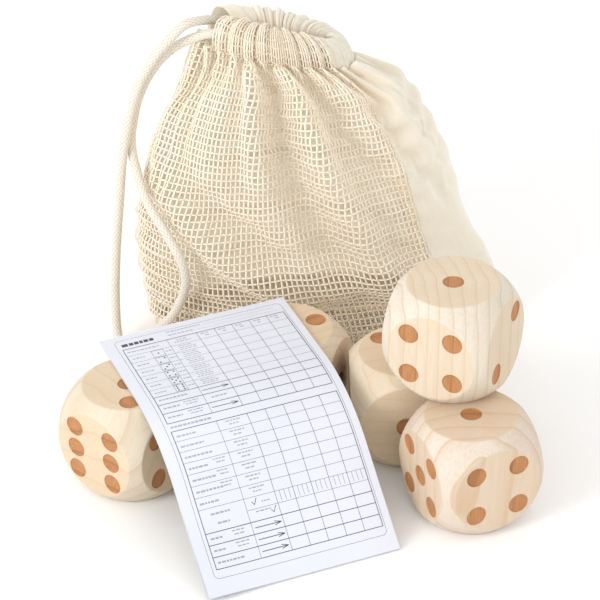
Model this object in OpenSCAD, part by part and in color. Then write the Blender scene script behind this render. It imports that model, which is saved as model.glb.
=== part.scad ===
// Giant yard dice: five big turned pine dice, a drawstring bag with a net front and a
// canvas back, and a pad of score sheets that leans on two of the dice.
// Millimetres, +Z up. The origin is on the ground, at the middle of the set's outline.

/* [Dice] */
// Edge of a die, from flat face to flat face
die_edge = 80; // [70:1:90]
// Ball that rounds a die's edges and corners, as a multiple of the edge
ball_ratio = 1.3; // [1.24:0.01:1.38]
// Diameter of a pip pocket
pip_d = 15; // [12:0.5:17]
// Depth of a pip pocket
pip_depth = 1; // [0.5:0.25:3]
// Distance from a face's middle to its outer rows of pips
pip_pitch = 16.5; // [15:0.5:18]

/* [Score pad] */
// Width of a score sheet
sheet_w = 143; // [130:1:150]
// Length of a score sheet
sheet_len = 241; // [220:1:245]
// Thickness of the backing card
card_t = 0.6; // [0.4:0.1:1]
// Thickness of the stack of sheets
stack_t = 1.2; // [0.8:0.1:3]
// Thickness of the loose top sheet
top_sheet_t = 0.2; // [0.1:0.05:0.4]

/* [Bag] */
// Thickness of the net and of the canvas
cloth_t = 2; // [1.5:0.25:3]
// Depth of the drawcord's casing, from outside to inside
casing_depth = 11; // [10.5:0.25:12]
// Thickness of the casing's own walls
casing_wall = 1.2; // [1:0.1:1.4]

/* [Drawcord] */
// Diameter of the braided drawcord
cord_d = 7; // [5:0.5:7]
// Diameter of the knot that joins the cord's two ends
knot_d = 19; // [16:1:22]

/* [Hidden] */

// Everything is laid out for an 80 mm die, and grows and shrinks with it.
k = die_edge / 80;
// Middle of the set's outline, seen from above
mid = [-4, -165];
// Gap that keeps one loose piece clear of the next
gap = 0.3;

// Places of the dice: middle of the die on the ground, and its turn about +Z
left_at = [-124, -224];
left_turn = 50;
middle_at = [-10, -159];
middle_turn = 70;
rear_at = [74, -192];
rear_turn = 0;
front_at = [117, -274];
front_turn = 24;
top_at = [107, -228];
top_turn = 63;

// Score pad: its back left corner, its turn, and the shape of its bend
pad_at = [-146, -173];
pad_turn = 21;
pad_flat = 84;
pad_bend = 77;
bend_steps = 14;
glue_t = 1;
sheet_gap = 0.1;

// Bag outline from the ground up. Each row is one ring:
// [height, middle X, half width, middle Y, half depth, fall per mm towards +X]
bag_rows = [
    [0, 20, 116, -20, 2.4, 0],
    [0, 20, 128, -20, 48, 0],
    [10, 19, 134, -20, 59, 0],
    [40, 14, 134, -22, 67, 0],
    [92, 2, 125, -22, 69, 0],
    [140, -2, 113, -22, 62, 0],
    [184, -4, 96, -22, 50, 0.04],
    [218, -4, 75, -20, 34, 0.11],
    [235, -12, 57, -20, 24, 0.23],
    [256, -13, 51, -20, 22.4, 0.3]
];
// Rings between the rows, as row numbers: the base stays flat from ring 0 to ring 1.
panel_rings = [0, 1, 1.33, 1.66, 2, 2.5, 3, 3.5, 4, 4.5, 5, 5.5, 6, 6.5, 7, 7.5, 8];
casing_bottom = 8;
casing_top = 9;
ring_step = 6;
right_seam = -42;
left_seam = 192;
full_turn = 360;
// The casings stop short of the left seam, where the cord comes out.
canvas_casing_end = 150;
net_casing_start = 216;

// The free strands of the drawcord, from the casing to the knot on the ground
back_strand = [
    [-66, -22, 262], [-78, -31, 263.5], [-89, -35, 255], [-103, -36, 238], [-116, -36, 213],
    [-124, -36, 184], [-130, -37, 154], [-134, -38, 120], [-138, -41, 86], [-141, -44, 52],
    [-142, -49, 24], [-141, -56, 8], [-138, -67, 3.5], [-132, -80, 3.5]
];
front_strand = [
    [-64, -29, 254], [-76, -27, 249], [-89, -26, 241], [-103, -26, 226], [-115, -26, 203],
    [-121, -27, 180], [-123, -29, 164], [-120, -41, 149], [-112, -61, 132], [-99, -78, 115],
    [-89, -87, 98], [-85, -88, 81], [-88, -84, 62], [-96, -78, 42], [-107, -72, 26],
    [-116, -69, 13], [-120, -70, 5.5], [-120.5, -75, 3.5]
];
knot_at = [-124, -86];
cord_sides = 8;
round_fn = 96;
small_fn = 32;

// ---- helpers -----------------------------------------------------------------------

// Puts a piece into the set's frame, and scales the layout with the dice
module in_set() {
    translate([-mid.x * k, -mid.y * k, 0]) children();
}

// A smooth curve through four neighbours p, q, r and s, between q and r
function smooth(p, q, r, s, t) =
    q + 0.5 * t * ((r - p) + t * ((2 * p - 5 * q + 4 * r - s) + t * (3 * q - p - 3 * r + s)));

// Bag outline at any row number v
function bag_row(v) =
    let (last = len(bag_rows) - 1, i = min(floor(v), last - 1))
    smooth(bag_rows[max(i - 1, 0)], bag_rows[i], bag_rows[i + 1], bag_rows[min(i + 2, last)], v - i);

// A point of the bag at row v and angle a, moved inwards by inset. Below row 2 the
// inset turns upwards, because the wall there is the bag's base.
function bag_point(v, a, inset) =
    let (
        row = bag_row(v),
        lift = v < 2 ? cos(45 * v) : 0,
        side = v < 1 ? 0 : sqrt(1 - lift * lift),
        x = (row[2] - inset * side) * cos(a),
        y = (row[4] - inset * side) * sin(a)
    )
    k * [row[1] + x, row[3] + y, row[0] - row[5] * x + (v <= 1 ? inset : inset * lift)];

// Faces of a slab made of two grids of n by m points, the second one inside the first
function grid_faces(n, m) = [
    for (j = [0:m - 2])
        for (i = [0:n - 2])
            let (a = j * n + i, b = a + 1, c = a + n, d = c + 1, inner = n * m)
            each [
                [a, c, b], [b, c, d],
                [a + inner, b + inner, c + inner], [b + inner, d + inner, c + inner]
            ]
];
function edge_faces(path, inner) = [
    for (e = [0:len(path) - 2])
        each [
            [path[e], path[e + 1], path[e] + inner],
            [path[e + 1], path[e + 1] + inner, path[e] + inner]
        ]
];
function border_faces(n, m) = concat(
    edge_faces([for (i = [0:n - 1]) i], n * m),
    edge_faces([for (j = [0:m - 1]) j * n + n - 1], n * m),
    edge_faces([for (i = [0:n - 1]) m * n - 1 - i], n * m),
    edge_faces([for (j = [0:m - 1]) (m - 1 - j) * n], n * m)
);

// A piece of cloth that follows the bag between two angles, over a list of rings
module cloth(from_angle, to_angle, rings, outside, inside) {
    angles = [for (a = [from_angle:ring_step:to_angle]) a];
    points = [
        for (inset = [outside, inside])
            for (v = rings)
                for (a = angles) bag_point(v, a, inset)
    ];
    n = len(angles);
    m = len(rings);
    polyhedron(points, concat(grid_faces(n, m), border_faces(n, m)), convexity = 6);
}

// Rings of equal length joined into a tube, with a flat cap at each end
module tube(rings) {
    n = len(rings[0]);
    m = len(rings);
    sides = [
        for (j = [0:m - 2])
            for (i = [0:n - 1])
                let (a = j * n + i, b = j * n + (i + 1) % n)
                each [[a, b, a + n], [b, b + n, a + n]]
    ];
    caps = [[for (i = [0:n - 1]) n - 1 - i], [for (i = [0:n - 1]) (m - 1) * n + i]];
    polyhedron([for (ring = rings) each ring], concat(sides, caps), convexity = 6);
}

function unit(v) = v / norm(v);

// Round cross-sections along a path. `ahead` fixes the direction of the first and last.
function cord_rings(path, d, ahead_first, ahead_last) = [
    for (i = [0:len(path) - 1])
        let (
            last = len(path) - 1,
            ahead = i == 0 ? ahead_first : i == last ? ahead_last
                : unit(unit(path[i + 1] - path[i]) + unit(path[i] - path[i - 1])),
            side = unit(cross(ahead, [0.3, 1, 0.2])),
            up = cross(side, ahead)
        )
        [for (s = [0:cord_sides - 1])
            let (a = full_turn * (s + 0.5) / cord_sides)
            path[i] + 0.5 * d * (side * cos(a) + up * sin(a))]
];

// The drawcord's place inside the casing, at angle a
function casing_middle(a) =
    (bag_point(casing_bottom, a, casing_depth / 2) + bag_point(casing_top, a, casing_depth / 2)) / 2;
casing_angles = [for (a = [net_casing_start:ring_step:full_turn + canvas_casing_end]) a];
casing_path = [for (a = casing_angles) casing_middle(a)];
// The cord leaves each casing straight along it.
front_exit = unit(casing_path[0] - casing_path[1]);
back_exit = unit(casing_path[len(casing_path) - 1] - casing_path[len(casing_path) - 2]);

// ---- dice --------------------------------------------------------------------------

// Places of one face's pips, as multiples of the pip pitch
function pip_places(n) = concat(
    n % 2 == 1 ? [[0, 0]] : [],
    n >= 2 ? [[1, -1], [-1, 1]] : [],
    n >= 4 ? [[1, 1], [-1, -1]] : [],
    n == 6 ? [[1, 0], [-1, 0]] : []
);

module face_pips(n) {
    row_stretch = n == 6 ? 1.1 : 1;
    for (p = pip_places(n))
        translate([p.x * pip_pitch * k, p.y * pip_pitch * k * row_stretch, die_edge / 2 - pip_depth])
            cylinder(d = pip_d * k, h = 2 * pip_depth, $fn = small_fn);
}

// Turns a face's pips from +Z to the face that carries that number: 1 is up, and
// 2, 3, 5 and 4 follow each other around it, seen from above.
face_turns = [[0, 0, 0], [0, 90, 0], [-90, 0, 0], [90, 0, 0], [0, -90, 0], [180, 0, 0]];

module die() {
    difference() {
        intersection() {
            cube(die_edge, center = true);
            sphere(d = die_edge * ball_ratio, $fn = round_fn);
        }
        for (n = [1:6])
            rotate(face_turns[n - 1]) face_pips(n);
    }
}

// A die standing at a place, turned about +Z, with `roll` bringing a number up
module placed_die(at, height, turn, roll) {
    in_set()
        translate([at.x * k, at.y * k, height + die_edge / 2])
            rotate(turn) rotate(roll) die();
}

module die_left() {
    color("#f2e2c4") placed_die(left_at, 0, left_turn, [90, 0, 90]);
}

module die_middle() {
    color("#efdcb8") placed_die(middle_at, 0, middle_turn, [90, 0, 0]);
}

module die_rear() {
    color("#f3e6cc") placed_die(rear_at, 0, rear_turn, [90, 0, 0]);
}

module die_front() {
    color("#f2dfbf") placed_die(front_at, 0, front_turn, [0, 0, 0]);
}

module die_top() {
    color("#f4e8d2") placed_die(top_at, die_edge + gap, top_turn, [0, 0, -90]);
}

// ---- bag ---------------------------------------------------------------------------

module net_front_panel() {
    color("#efe0c0") in_set()
        cloth(left_seam, full_turn + right_seam, panel_rings, 0, cloth_t);
}

module canvas_back_panel() {
    color("#ece4d6") in_set()
        cloth(right_seam, left_seam, panel_rings, 0, cloth_t);
}

// A hollow channel that follows the neck of the bag between two angles
module casing(from_angle, to_angle) {
    // Corners of the channel's cross-section: first across it, then up it
    function corners(a, wall) =
        let (
            bottom_out = bag_point(casing_bottom, a, wall),
            bottom_in = bag_point(casing_bottom, a, casing_depth - wall),
            top_out = bag_point(casing_top, a, wall),
            top_in = bag_point(casing_top, a, casing_depth - wall),
            rise = unit(top_out - bottom_out) * wall
        )
        [bottom_out + rise, bottom_in + rise, top_in - rise, top_out - rise];
    angles = [for (a = [from_angle:ring_step:to_angle]) a];
    m = len(angles);
    corner_count = 4;
    inner = m * corner_count;
    points = [for (wall = [0, casing_wall]) for (a = angles) each corners(a, wall)];
    walls = [
        for (j = [0:m - 2])
            for (i = [0:corner_count - 1])
                let (
                    a = j * corner_count + i,
                    b = j * corner_count + (i + 1) % corner_count,
                    c = a + corner_count,
                    d = b + corner_count
                )
                each [
                    [a, c, b], [b, c, d],
                    [a + inner, b + inner, c + inner], [b + inner, d + inner, c + inner]
                ]
    ];
    ends = [
        for (i = [0:corner_count - 1])
            let (
                next = (i + 1) % corner_count,
                far = (m - 1) * corner_count
            )
            each [
                [i, next, i + inner], [next, next + inner, i + inner],
                [far + i, far + i + inner, far + next],
                [far + next, far + i + inner, far + next + inner]
            ]
    ];
    polyhedron(points, concat(walls, ends), convexity = 8);
}

module net_casing() {
    color("#eadbb8") in_set() casing(net_casing_start, full_turn + right_seam);
}

module canvas_casing() {
    color("#e8dfcf") in_set() casing(right_seam, canvas_casing_end);
}

// Turned-in seam allowances, flat against the inside of the bag
seam_t = 1;
seam_turn = 6;
module left_side_seam() {
    color("#ddd2bd") in_set()
        cloth(left_seam, left_seam + seam_turn, [for (v = [2.5:0.5:7.5]) v], cloth_t, cloth_t + seam_t);
}

module right_side_seam() {
    color("#ddd2bd") in_set()
        cloth(right_seam - seam_turn, right_seam, [for (v = [2.5:0.5:7.5]) v], cloth_t, cloth_t + seam_t);
}

// The base seam closes the slit between the two panels from the inside.
seam_len = 220;
seam_w = 10;
seam_h = 3;
module bottom_seam() {
    color("#ddd2bd") in_set()
        translate([k * (bag_rows[0][1] - seam_len / 2), k * (bag_rows[0][3] - seam_w / 2), k * cloth_t])
            cube([k * seam_len, k * seam_w, k * seam_h]);
}

// A blank satin label, caught in the left side seam
label_t = 0.6;
module care_label() {
    color("#e6e0dc") in_set()
        cloth(left_seam + seam_turn, left_seam + seam_turn + 24, [5.5, 6, 6.5], cloth_t, cloth_t + label_t);
}

// ---- drawcord ----------------------------------------------------------------------

module drawcord_in_casing() {
    color("#ddd3c6") in_set()
        tube(cord_rings(casing_path, k * cord_d, -front_exit, back_exit));
}

module free_strand(start, exit, path, into) {
    tube(cord_rings(concat([start], k * path), k * cord_d, exit, into));
}

module drawcord_back_strand() {
    color("#e2d9cc") in_set()
        free_strand(casing_path[len(casing_path) - 1], back_exit, back_strand, unit([6, -11, 0]));
}

module drawcord_front_strand() {
    color("#e2d9cc") in_set()
        free_strand(casing_path[0], front_exit, front_strand, unit([2, -7, 0]));
}

module drawcord_knot() {
    color("#d9cfc0") in_set()
        translate([k * knot_at.x, k * knot_at.y, k * knot_d / 2])
            sphere(d = k * knot_d, $fn = small_fn);
}

// The cord's two whipped ends, past the knot
tail_len = 22;
tail_turns = [-72, -38];
module drawcord_tails() {
    color("#e2d9cc") in_set()
        for (turn = tail_turns)
            translate([k * knot_at.x, k * knot_at.y, k * cord_d / 2])
                rotate(turn) translate([k * knot_d / 2 - gap, 0, 0])
                    rotate([0, 90, 0]) cylinder(d = k * cord_d, h = k * tail_len, $fn = small_fn);
}

// ---- score pad ---------------------------------------------------------------------

// The pad lies flat on two dice, bends, and runs straight down to the ground.
// Its fall depends on the slope of the straight part, found by halving an interval.
pad_fall = die_edge + gap;
pad_tail = sheet_len - pad_flat - pad_bend;
function fall(slope) = k * (pad_bend * 180 / PI / slope * (1 - cos(slope)) + pad_tail * sin(slope));
function find_slope(low, high, tries) =
    let (middle = (low + high) / 2)
    tries == 0 ? middle
        : fall(middle) < pad_fall ? find_slope(middle, high, tries - 1)
        : find_slope(low, middle, tries - 1);
pad_slope = find_slope(5, 80, 30);
bend_r = pad_bend * 180 / PI / pad_slope;

// Point of the pad at a distance along it, lifted off its underside by `rise`
function pad_point(along, rise) =
    let (
        turned = max(0, min(1, (along - pad_flat) / pad_bend)) * pad_slope,
        past = max(0, along - pad_flat - pad_bend)
    )
    k * [
        -min(along, pad_flat) - bend_r * sin(turned) - past * cos(turned) - rise * sin(turned),
        -bend_r * (1 - cos(turned)) - past * sin(turned) + rise * cos(turned)
    ];
function pad_stations(start) = concat(
    [start], [for (i = [0:bend_steps]) pad_flat + pad_bend * i / bend_steps], [sheet_len]
);

// One layer of the pad, between two heights above the underside
module pad_layer(low, high, start) {
    stations = pad_stations(start);
    last = len(stations) - 1;
    there = [for (s = stations) pad_point(s, low)];
    back = [for (i = [0:last]) pad_point(stations[last - i], high)];
    polygon(concat(there, back));
}

module placed_pad() {
    in_set()
        translate([k * pad_at.x, k * pad_at.y, pad_fall])
            rotate(pad_turn) rotate([90, 0, 90]) linear_extrude(k * sheet_w) children();
}

module pad_backing_card() {
    color("#d9d3c6") placed_pad() pad_layer(0, card_t, 0);
}

module pad_sheet_stack() {
    color("#f4f5fa") placed_pad() pad_layer(card_t, card_t + stack_t, 0);
}

module pad_top_sheet() {
    low = card_t + stack_t + sheet_gap;
    color("#fafbff") placed_pad() pad_layer(low, low + top_sheet_t, gap);
}

// The strip of glue that holds the sheets along their back edge
module pad_glue_edge() {
    color("#eceef4") placed_pad()
        polygon(k * [[0, 0], [glue_t, 0], [glue_t, card_t + stack_t], [0, card_t + stack_t]]);
}

die_left();
die_middle();
die_rear();
die_front();
die_top();
net_front_panel();
canvas_back_panel();
net_casing();
canvas_casing();
left_side_seam();
right_side_seam();
bottom_seam();
care_label();
drawcord_in_casing();
drawcord_back_strand();
drawcord_front_strand();
drawcord_knot();
drawcord_tails();
pad_backing_card();
pad_sheet_stack();
pad_top_sheet();
pad_glue_edge();
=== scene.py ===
"""Looks of the giant yard dice set: five pine dice, a net and canvas bag on a drawcord, and a
pad of score sheets. Everything is in metres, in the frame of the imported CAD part."""

import math

import bmesh
import bpy
import numpy as np
from mathutils import Matrix, Vector
from mathutils.geometry import delaunay_2d_cdt


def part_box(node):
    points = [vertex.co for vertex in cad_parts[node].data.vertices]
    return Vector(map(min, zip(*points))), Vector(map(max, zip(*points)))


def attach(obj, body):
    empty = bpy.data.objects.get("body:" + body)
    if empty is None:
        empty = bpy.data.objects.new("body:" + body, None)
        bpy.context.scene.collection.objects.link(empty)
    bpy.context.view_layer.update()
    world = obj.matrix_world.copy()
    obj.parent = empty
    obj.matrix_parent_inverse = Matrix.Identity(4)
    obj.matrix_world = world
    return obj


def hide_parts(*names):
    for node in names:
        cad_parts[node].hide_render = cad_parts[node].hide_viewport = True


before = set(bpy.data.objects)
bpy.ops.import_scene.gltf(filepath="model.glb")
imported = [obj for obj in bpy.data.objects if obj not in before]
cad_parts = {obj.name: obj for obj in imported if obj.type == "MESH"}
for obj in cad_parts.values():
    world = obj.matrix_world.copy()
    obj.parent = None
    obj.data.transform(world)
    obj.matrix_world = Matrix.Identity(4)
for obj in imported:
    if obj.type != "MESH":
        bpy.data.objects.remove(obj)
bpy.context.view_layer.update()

MM = 0.001
TAU = 2 * math.pi
rng = np.random.default_rng(7)

# The CAD source lays the set out in millimetres and then puts this point at the origin.
LAYOUT_MIDDLE = np.array([-4.0, -165.0, 0.0])


def in_frame(points):
    """Layout points in millimetres, as metres in the row frame."""
    return (np.asarray(points, float) - LAYOUT_MIDDLE) * MM


# ---- meshes ------------------------------------------------------------------------------

NO_TRIS = np.zeros((0, 3), int)


def new_object(name, points, quads=(), tris=(), smooth=True, uv=None):
    """A mesh object from points in metres. uv is one pair for each point."""
    points = np.asarray(points, np.float32).reshape(-1, 3)
    quads = np.asarray(quads, np.int32).reshape(-1, 4)
    tris = np.asarray(tris, np.int32).reshape(-1, 3)
    corners = np.concatenate([quads.ravel(), tris.ravel()])
    sizes = np.concatenate([np.full(len(quads), 4), np.full(len(tris), 3)])
    mesh = bpy.data.meshes.new(name)
    mesh.vertices.add(len(points))
    mesh.vertices.foreach_set("co", points.ravel())
    mesh.loops.add(len(corners))
    mesh.loops.foreach_set("vertex_index", corners)
    mesh.polygons.add(len(sizes))
    mesh.polygons.foreach_set("loop_start", (np.cumsum(sizes) - sizes).astype(np.int32))
    mesh.polygons.foreach_set("use_smooth", np.full(len(sizes), smooth))
    mesh.update(calc_edges=True)
    if uv is not None:
        layer = mesh.uv_layers.new(name="cloth")
        layer.data.foreach_set("uv", np.asarray(uv, np.float32)[corners].ravel())
    made = bpy.data.objects.new(name, mesh)
    bpy.context.scene.collection.objects.link(made)
    return made


def finish_piece(piece, body, slot, material, *stands_for):
    """Gives a piece its material, and hangs it on the CAD body that it belongs to."""
    piece.data.materials.clear()
    piece.data.materials.append(material)
    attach(piece, body)
    if stands_for:
        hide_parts(*stands_for)
    return piece


def grid_quads(rows, cols, closed=False):
    """Faces of a grid of points, row after row. A closed grid joins its last column to its first."""
    j, i = np.meshgrid(np.arange(rows - 1), np.arange(cols if closed else cols - 1), indexing="ij")
    a, b = j * cols + i, j * cols + (i + 1) % cols
    return np.stack([a, b, b + cols, a + cols], -1).reshape(-1, 4)


def curve_through(points, per_span):
    """A Catmull-Rom curve through points, with per_span steps between neighbours."""
    points = np.asarray(points, float)
    padded = np.concatenate([[2 * points[0] - points[1]], points, [2 * points[-1] - points[-2]]])
    t = np.linspace(0, 1, per_span, endpoint=False)[:, None]
    spans = []
    for p, q, r, s in zip(padded, padded[1:], padded[2:], padded[3:]):
        bend = (2 * p - 5 * q + 4 * r - s) + t * (3 * q - p - 3 * r + s)
        spans.append(q + 0.5 * t * ((r - p) + t * bend))
    return np.concatenate(spans + [points[-1:]])


def distance_along(line):
    """How far along a line each of its points is."""
    return np.concatenate([[0], np.cumsum(np.linalg.norm(np.diff(line, axis=0), axis=1))])


def points_at(line, along, wanted):
    """Points of a line at the wanted distances along it."""
    return np.stack([np.interp(wanted, along, line[:, k]) for k in range(3)], -1)


def evenly(line, step):
    """The same line with points about a step apart."""
    along = distance_along(line)
    count = max(2, round(along[-1] / step) + 1)
    return points_at(line, along, np.linspace(0, along[-1], count))


def unit(v):
    """Vectors of length 1 in the same directions."""
    return v / np.maximum(np.linalg.norm(v, axis=-1, keepdims=True), 1e-12)


def line_frames(line, closed=False):
    """Two axes across a line at each of its points, which don't twist round it."""
    if closed:
        ahead = unit(np.roll(line, -1, 0) - np.roll(line, 1, 0))
    else:
        ahead = unit(np.gradient(line, axis=0))
    side = np.zeros_like(line)
    side[0] = unit(np.cross(ahead[0], [0.3, 1.0, 0.2]))
    for i in range(1, len(line)):
        side[i] = unit(side[i - 1] - ahead[i] * (side[i - 1] @ ahead[i]))
    return side, np.cross(ahead, side)


def circles_round(side, up, count):
    """A circle of radius 1 for each point of a line, from the two axes across it."""
    turn = np.arange(count) * TAU / count
    return side[:, None] * np.cos(turn)[None, :, None] + up[:, None] * np.sin(turn)[None, :, None]


def tube(line, radius, sides, relief=None, closed=False):
    """Points and faces of a tube round a line. relief(along, turn) is added to the radius."""
    reach = np.full((len(line), sides), radius)
    if relief:
        reach += relief(distance_along(line)[:, None], np.arange(sides)[None] * TAU / sides)
    ring = circles_round(*line_frames(line, closed), sides)
    points = (line[:, None] + reach[..., None] * ring).reshape(-1, 3)
    quads = grid_quads(len(line), sides, True)
    first = np.arange(sides)
    after = (first + 1) % sides
    last = (len(line) - 1) * sides
    if closed:
        closing = np.stack([last + first, last + after, after, first], -1)
        return points, np.concatenate([quads, closing]), NO_TRIS
    middle = len(points)
    points = np.concatenate([points, line[:1], line[-1:]])
    first_cap = np.stack([after, first, np.full(sides, middle)], -1)
    last_cap = np.stack([last + first, last + after, np.full(sides, middle + 1)], -1)
    return points, quads, np.concatenate([first_cap, last_cap])


def joined(parts):
    """Several (points, quads, tris) as one."""
    points, quads, tris, base = [], [], [], 0
    for p, q, t in parts:
        points.append(p)
        quads.append(np.asarray(q).reshape(-1, 4) + base)
        tris.append(np.asarray(t).reshape(-1, 3) + base)
        base += len(p)
    return np.concatenate(points), np.concatenate(quads), np.concatenate(tris)


# ---- materials ---------------------------------------------------------------------------


def srgb(red, green, blue):
    """A colour given as 0 to 255, as the linear values that Blender takes."""
    scaled = [c / 255 for c in (red, green, blue)]
    return tuple(c / 12.92 if c <= 0.04045 else ((c + 0.055) / 1.055) ** 2.4 for c in scaled) + (1.0,)


def node(tree, kind, inputs=None, out=0, **settings):
    """Adds a shader node. Its inputs are set, or linked where the value is a socket."""
    made = tree.nodes.new("ShaderNode" + kind)
    for key, value in settings.items():
        setattr(made, key, value)
    for key, value in (inputs or {}).items():
        if isinstance(value, bpy.types.NodeSocket):
            tree.links.new(value, made.inputs[key])
        else:
            made.inputs[key].default_value = value
    return made.outputs[out]


def calc(tree, operation, a, b=0.0):
    return node(tree, "Math", {0: a, 1: b}, operation=operation)


def times(tree, a, b):
    return calc(tree, "MULTIPLY", a, b)


def weighted(tree, a, share, b, other_share):
    """The sum of two values, with a share of each."""
    return calc(tree, "ADD", times(tree, a, share), times(tree, b, other_share))


def vector_calc(tree, operation, a, b=(0.0, 0.0, 0.0), out=0):
    return node(tree, "VectorMath", {0: a, 1: b}, out, operation=operation)


def mixed(tree, factor, a, b):
    """Colour a turning into colour b."""
    return node(tree, "Mix", {0: factor, 6: a, 7: b}, 2, data_type="RGBA")


def ramp(tree, factor, stops):
    """A grey ramp: stops are (position, value)."""
    made = tree.nodes.new("ShaderNodeValToRGB")
    tree.links.new(factor, made.inputs[0])
    while len(made.color_ramp.elements) < len(stops):
        made.color_ramp.elements.new(0.5)
    for element, (position, value) in zip(made.color_ramp.elements, stops):
        element.position = position
        element.color = (value, value, value, 1)
    return made.outputs[0]


def between(tree, factor, low, high):
    """0 up to low, 1 from high on, and a straight rise between."""
    return ramp(tree, factor, [(low, 0), (high, 1)])


def noise(tree, vector, scale, detail=3.0, roughness=0.5):
    inputs = {"Vector": vector, "Scale": scale, "Detail": detail, "Roughness": roughness}
    return node(tree, "TexNoise", inputs)


def new_material(name, roughness, specular=0.25, sheen=0.0, glow=0.0):
    """glow is the share of the light that soaks into the cloth and comes out of its other side."""
    material = bpy.data.materials.new(name)
    material.use_nodes = True
    surface = material.node_tree.nodes["Principled BSDF"]
    values = {"Roughness": roughness, "Specular IOR Level": specular, "Sheen Weight": sheen}
    if glow:
        values["Subsurface Weight"] = glow
        values["Subsurface Radius"] = (1.0, 1.0, 0.95)
        values["Subsurface Scale"] = 0.004
    for key, value in values.items():
        surface.inputs[key].default_value = value
    return material, material.node_tree, surface


def tinted(tree, surface, factor, shade, colour):
    """Colours a surface: shade where factor is 0, colour where it is 1."""
    tree.links.new(mixed(tree, factor, shade, colour), surface.inputs["Base Color"])


def bump(tree, surface, height, strength, distance):
    inputs = {"Height": height, "Strength": strength, "Distance": distance}
    tree.links.new(node(tree, "Bump", inputs), surface.inputs["Normal"])


def object_coords(tree):
    return node(tree, "TexCoord", out="Object")


# (position, darkness) across one growth ring, from early wood to late wood
RING_STOPS = [(0, 0.1), (0.5, 0.12), (0.84, 0.4), (0.93, 1), (0.97, 1), (1, 0.1)]
FLAT_TINT = srgb(212, 180, 140)
CHAR_PALE, CHAR_DARK, CHAR_RING = srgb(206, 152, 102), srgb(154, 100, 62), srgb(140, 86, 48)


def pine(name, fibre, pith, pale, dark, ring_gap, contrast):
    """Sanded pine. Growth rings run round the tree's middle line, which goes through the point
    pith along fibre, both in the die's own frame. Burnt pips keep their grain."""
    material, tree, surface = new_material(name, 0.58, 0.3)
    here = object_coords(tree)
    along = vector_calc(tree, "DOT_PRODUCT", here, fibre, "Value")
    stretch = node(tree, "VectorMath", {0: fibre, "Scale": times(tree, along, 0.93)},
                   operation="SCALE")
    squeezed = vector_calc(tree, "SUBTRACT", here, stretch)
    wander = noise(tree, squeezed, 22.0, 2.0)
    from_pith = vector_calc(tree, "SUBTRACT", here, pith)
    reach = vector_calc(tree, "LENGTH", vector_calc(tree, "CROSS_PRODUCT", from_pith, fibre), out="Value")
    rings = calc(tree, "ADD", calc(tree, "DIVIDE", reach, ring_gap), times(tree, wander, 1.5))
    late = ramp(tree, calc(tree, "FRACT", rings), RING_STOPS)
    streaks = noise(tree, squeezed, 650.0, 3.0, 0.6)
    blotches = noise(tree, squeezed, 35.0, 2.0)
    wood = mixed(tree, times(tree, late, contrast), pale, dark)
    wood = mixed(tree, times(tree, between(tree, streaks, 0.45, 0.72), 0.3), wood, dark)
    wood = mixed(tree, times(tree, between(tree, blotches, 0.3, 0.75), 0.3), wood, dark)
    flat = node(tree, "Attribute", out="Fac", attribute_name="flat")
    wood = mixed(tree, times(tree, flat, 0.38), wood, FLAT_TINT)
    burn = node(tree, "Attribute", out="Fac", attribute_name="burn")
    charred = mixed(tree, streaks, CHAR_PALE, CHAR_DARK)
    charred = mixed(tree, times(tree, late, 0.5), charred, CHAR_RING)
    tinted(tree, surface, burn, wood, charred)
    bump(tree, surface, weighted(tree, streaks, 0.6, late, 0.4), 0.25, 0.0003)
    return material


def woven(name, colour, shade, pitch, sheen=0.2, strength=0.35):
    """Plain-weave cotton, from the cloth's own coordinates, so that the threads follow folds."""
    material, tree, surface = new_material(name, 0.85, 0.15, sheen, 0.8)
    uv = node(tree, "TexCoord", out="UV")
    split = tree.nodes.new("ShaderNodeSeparateXYZ")
    tree.links.new(uv, split.inputs[0])
    waves = [calc(tree, "SINE", times(tree, split.outputs[k], TAU / pitch)) for k in (0, 1)]
    weave = times(tree, waves[0], waves[1])
    slubs = []
    for scale in ((60.0, 1500.0, 1.0), (1500.0, 60.0, 1.0)):
        slubs.append(noise(tree, vector_calc(tree, "MULTIPLY", uv, scale), 1.0, 2.0))
    slub = times(tree, calc(tree, "ADD", slubs[0], slubs[1]), 0.5)
    cloud = noise(tree, object_coords(tree), 30.0, 2.0)
    tint = weighted(tree, slub, 0.7, cloud, 0.3)
    tinted(tree, surface, between(tree, tint, 0.35, 0.66), shade, colour)
    height = calc(tree, "ADD", times(tree, weave, 0.35), slub)
    bump(tree, surface, height, strength, 0.0004)
    return material


def yarn(name, colour, shade, scale, strength=0.5):
    """Spun cotton with fine fibres and a little unevenness."""
    material, tree, surface = new_material(name, 0.9, 0.12, 0.25, 0.5)
    here = object_coords(tree)
    fibres = noise(tree, here, scale, 4.0, 0.65)
    cloud = noise(tree, here, 45.0, 2.0)
    tint = weighted(tree, fibres, 0.5, cloud, 0.5)
    tinted(tree, surface, between(tree, tint, 0.36, 0.64), shade, colour)
    bump(tree, surface, fibres, strength, 0.0004)
    return material


def paper(name, colour, shade, roughness=0.75, scale=900.0):
    """Uncoated sheet stock, with fine fibres."""
    material, tree, surface = new_material(name, roughness, 0.25)
    here = object_coords(tree)
    fibres = noise(tree, here, scale, 4.0, 0.7)
    cloud = noise(tree, here, 14.0, 1.0)
    tint = weighted(tree, fibres, 0.4, cloud, 0.6)
    tinted(tree, surface, between(tree, tint, 0.3, 0.7), shade, colour)
    bump(tree, surface, fibres, 0.08, 0.0001)
    return material


# ---- camera, floor and light ---------------------------------------------------------------


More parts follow.
